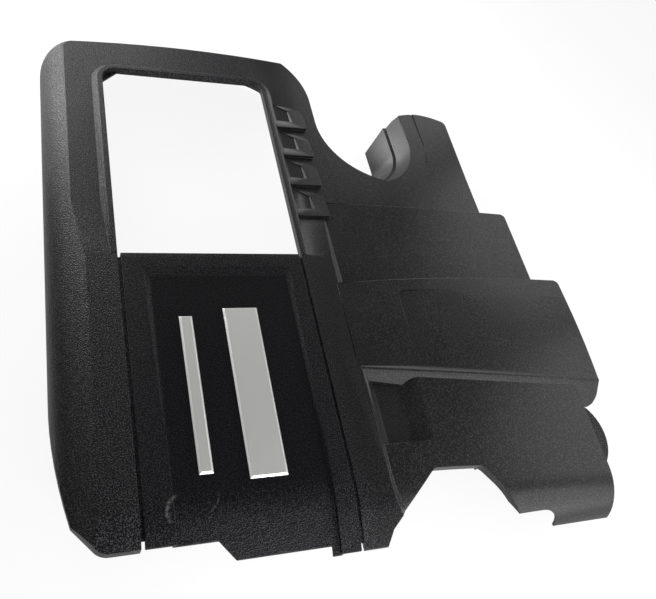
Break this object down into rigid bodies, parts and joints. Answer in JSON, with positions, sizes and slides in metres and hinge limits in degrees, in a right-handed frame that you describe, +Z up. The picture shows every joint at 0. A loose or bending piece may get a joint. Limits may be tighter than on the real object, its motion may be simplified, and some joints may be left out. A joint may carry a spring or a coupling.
{
  "type": "engine cover",
  "caption": "Moulded engine cover in grained black plastic: window frame with rails, louvre tiles, clipped-in centre panel, tank bay and a wing of overlapping plates, pressed on to ball studs.",
  "frame": {"origin": "middle of the cover's box in plan, on the floor that it lies on", "axes": "+X across the cover from the window frame to the wing, +Y from the front edge to the back, +Z up out of the visible side"},
  "size_m": [0.499, 0.5649, 0.063],
  "materials": {
    "cover": "fine grain, charcoal black",
    "panel": "coarse grain, black",
    "trim": "satin",
    "grommet": "matt"
  },
  "bodies": {
    "root": {"main_cover": "cover", "centre_panel": "panel", "wide_trim_bar": "trim", "slim_trim_bar": "trim", "ball_grommets": "grommet"}
  },
  "joints": []
}
